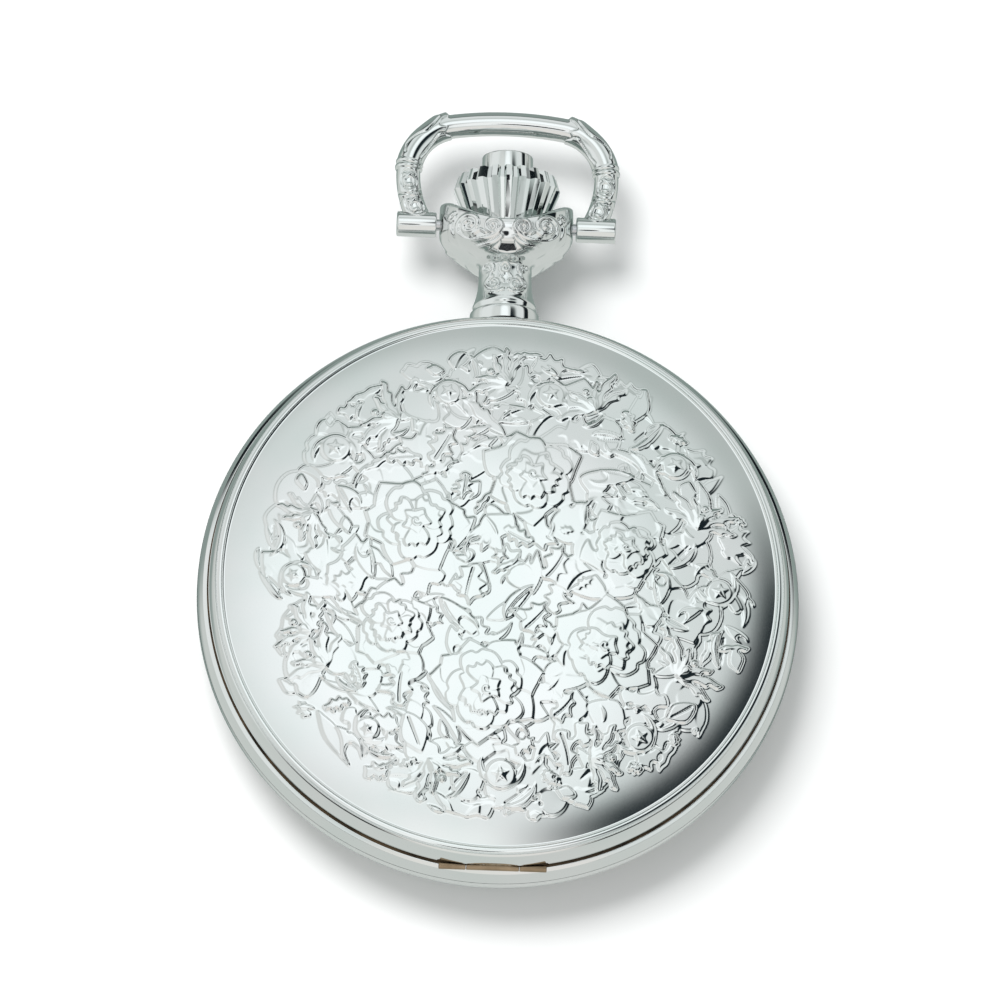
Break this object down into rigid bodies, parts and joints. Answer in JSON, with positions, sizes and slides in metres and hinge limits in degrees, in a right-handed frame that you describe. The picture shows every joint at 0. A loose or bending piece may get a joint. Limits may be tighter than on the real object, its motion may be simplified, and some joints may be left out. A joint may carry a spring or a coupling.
{
  "type": "hunter pocket watch",
  "caption": "Round hunter pocket watch with an embossed hinged front lid, pendant, fluted crown with release button, swinging bow, dial, hands and wound lever movement.",
  "frame": {"origin": "centre of the flat back that the watch lies on", "axes": "+Z out of the front lid, +Y along the pendant towards the bow, +X to the right of the dial"},
  "size_m": [0.048, 0.0654, 0.0112],
  "materials": {
    "case_metal": "polished silver tone",
    "steel": "fine brushed",
    "gilt_plate": "frosted gilt",
    "wheel_brass": "satin",
    "crystal": "clear",
    "dial_enamel": "gloss enamel",
    "hand_blue": "blued",
    "ruby": "polished"
  },
  "bodies": {
    "case": {"case_band": "case_metal", "lid_hinge_pin": "steel", "back_cover": "case_metal", "bezel_ring": "case_metal", "crystal": "crystal", "catch_spring": "steel", "lift_spring": "steel", "pendant": "case_metal", "bow_pins": "steel", "dial": "dial_enamel", "movement_ring": "gilt_plate", "case_screws": "steel", "main_plate": "gilt_plate", "barrel_bridge": "gilt_plate", "train_bridge": "gilt_plate", "balance_cock": "gilt_plate", "pallet_cock": "gilt_plate", "bridge_screws": "steel", "train_jewels": "ruby", "balance_jewels": "ruby", "crown_wheel_screw": "steel", "click_spring": "steel"},
    "front_lid": {"lid": "case_metal"},
    "bow_loop": {"bow": "case_metal"},
    "pinion_on_stem": {"winding_pinion": "steel"},
    "crown_and_stem": {"crown": "case_metal", "winding_stem": "steel"},
    "release": {"release_button": "case_metal", "release_rod": "steel"},
    "clutch": {"clutch_wheel": "steel"},
    "catch": {"lid_catch": "steel"},
    "barrel": {"mainspring_barrel": "wheel_brass", "barrel_cover": "wheel_brass", "mainspring": "steel"},
    "ratchet": {"ratchet_wheel": "steel", "barrel_arbor": "steel"},
    "crown_gear": {"crown_wheel": "steel"},
    "pawl": {"click": "steel"},
    "centre": {"centre_wheel": "wheel_brass", "cannon_pinion": "wheel_brass", "minute_hand": "hand_blue"},
    "third": {"third_wheel": "wheel_brass"},
    "fourth": {"fourth_wheel": "wheel_brass", "second_hand": "hand_blue"},
    "escape": {"escape_wheel": "wheel_brass"},
    "lever": {"pallet_fork": "steel", "pallet_stones": "ruby"},
    "balance": {"balance_wheel": "wheel_brass", "balance_screws": "steel", "balance_staff": "steel", "impulse_jewel": "ruby", "hairspring": "steel"},
    "index": {"regulator": "steel"},
    "minute_gear": {"minute_wheel": "wheel_brass"},
    "hour_gear": {"hour_wheel": "wheel_brass", "hour_hand": "hand_blue"},
    "setting_gear": {"setting_wheel": "wheel_brass"},
    "lever_setting": {"setting_lever": "steel"},
    "yoke_lever": {"yoke": "steel"}
  },
  "joints": [
    {"name": "lid_hinge", "type": "hinge", "parent": "case", "child": "front_lid", "pos_m": [0, -0.02305, 0.0075], "axis": [1, 0, 0], "range_deg": [0, 95]},
    {"name": "bow_swing", "type": "hinge", "parent": "case", "child": "bow_loop", "pos_m": [0, 0.0318, 0.0056], "axis": [1, 0, 0], "range_deg": [-140, 140]},
    {"name": "crown_turn", "type": "hinge", "parent": "case", "child": "pinion_on_stem", "pos_m": [0, 0.014, 0.0056], "axis": [0, 1, 0], "continuous": true},
    {"name": "crown_pull", "type": "slide", "parent": "pinion_on_stem", "child": "crown_and_stem", "axis": [0, 1, 0], "range_m": [0, 0.0008]},
    {"name": "release_push", "type": "slide", "parent": "crown_and_stem", "child": "release", "axis": [0, -1, 0], "range_m": [0, 0.0005], "stiffness_N_per_m": 400},
    {"name": "clutch_shift", "type": "slide", "parent": "pinion_on_stem", "child": "clutch", "axis": [0, -1, 0], "range_m": [0, 0.0005]},
    {"name": "catch_release", "type": "slide", "parent": "case", "child": "catch", "axis": [0, -1, 0], "range_m": [0, 0.0005]},
    {"name": "ratchet_turn", "type": "hinge", "parent": "case", "child": "ratchet", "pos_m": [-0.00603, 0.00525, 0.003], "axis": [0, 0, 1], "continuous": true},
    {"name": "crown_gear_turn", "type": "hinge", "parent": "case", "child": "crown_gear", "pos_m": [0, 0.0111, 0.004], "axis": [0, 0, 1], "continuous": true},
    {"name": "click_swing", "type": "hinge", "parent": "case", "child": "pawl", "pos_m": [-0.01252, 0.00761, 0.004], "axis": [0, 0, 1], "range_deg": [0, 8]},
    {"name": "seconds_turn", "type": "hinge", "parent": "case", "child": "fourth", "pos_m": [0, -0.0085, 0.0024], "axis": [0, 0, -1], "continuous": true},
    {"name": "barrel_turn", "type": "hinge", "parent": "case", "child": "barrel", "pos_m": [-0.00603, 0.00525, 0.003], "axis": [0, 0, -1], "continuous": true},
    {"name": "centre_turn", "type": "hinge", "parent": "case", "child": "centre", "pos_m": [0, 0, 0.002], "axis": [0, 0, -1], "continuous": true},
    {"name": "third_turn", "type": "hinge", "parent": "case", "child": "third", "pos_m": [0.00164, -0.00477, 0.003], "axis": [0, 0, -1], "continuous": true},
    {"name": "escape_turn", "type": "hinge", "parent": "case", "child": "escape", "pos_m": [0.00379, -0.00917, 0.0036], "axis": [0, 0, -1], "continuous": true},
    {"name": "minute_gear_turn", "type": "hinge", "parent": "case", "child": "minute_gear", "pos_m": [0, 0.00384, 0.006], "axis": [0, 0, -1], "continuous": true},
    {"name": "hour_turn", "type": "hinge", "parent": "case", "child": "hour_gear", "pos_m": [0, 0, 0.007], "axis": [0, 0, -1], "continuous": true},
    {"name": "setting_gear_turn", "type": "hinge", "parent": "case", "child": "setting_gear", "pos_m": [0, 0.00864, 0.006], "axis": [0, 0, -1], "continuous": true},
    {"name": "lever_swing", "type": "hinge", "parent": "case", "child": "lever", "pos_m": [0.00551, -0.00671, 0.0036], "axis": [0, 0, 1], "range_deg": [-5, 5]},
    {"name": "balance_swing", "type": "hinge", "parent": "case", "child": "balance", "pos_m": [0.00758, -0.00376, 0.0025], "axis": [0, 0, 1], "range_deg": [-135, 135], "stiffness_Nm_per_rad": 0.0000004},
    {"name": "index_swing", "type": "hinge", "parent": "case", "child": "index", "pos_m": [0.00758, -0.00376, 0.0009], "axis": [0, 0, 1], "range_deg": [-18, 18]},
    {"name": "setting_lever_swing", "type": "hinge", "parent": "case", "child": "lever_setting", "pos_m": [0.0032, 0.01685, 0.0063], "axis": [0, 0, -1], "range_deg": [0, 14.26]},
    {"name": "yoke_swing", "type": "hinge", "parent": "case", "child": "yoke_lever", "pos_m": [-0.0034, 0.0121, 0.0065], "axis": [0, 0, -1], "range_deg": [0, 8.42]}
  ],
  "couplings": [
    {"joint": "crown_gear_turn", "follows": "crown_turn", "ratio": 0.5},
    {"joint": "ratchet_turn", "follows": "crown_turn", "ratio": -0.33333},
    {"joint": "clutch_shift", "follows": "crown_pull", "ratio": 0.625},
    {"joint": "setting_lever_swing", "follows": "crown_pull", "rad_per_m": 310.89},
    {"joint": "yoke_swing", "follows": "crown_pull", "rad_per_m": 183.3},
    {"joint": "catch_release", "follows": "release_push", "ratio": 1},
    {"joint": "third_turn", "follows": "seconds_turn", "ratio": -0.13333},
    {"joint": "centre_turn", "follows": "seconds_turn", "ratio": 0.016667},
    {"joint": "barrel_turn", "follows": "seconds_turn", "ratio": -0.0020833},
    {"joint": "escape_turn", "follows": "seconds_turn", "ratio": -10},
    {"joint": "minute_gear_turn", "follows": "seconds_turn", "ratio": -0.0055556},
    {"joint": "hour_turn", "follows": "seconds_turn", "ratio": 0.0013889},
    {"joint": "setting_gear_turn", "follows": "seconds_turn", "ratio": 0.0083333}
  ]
}
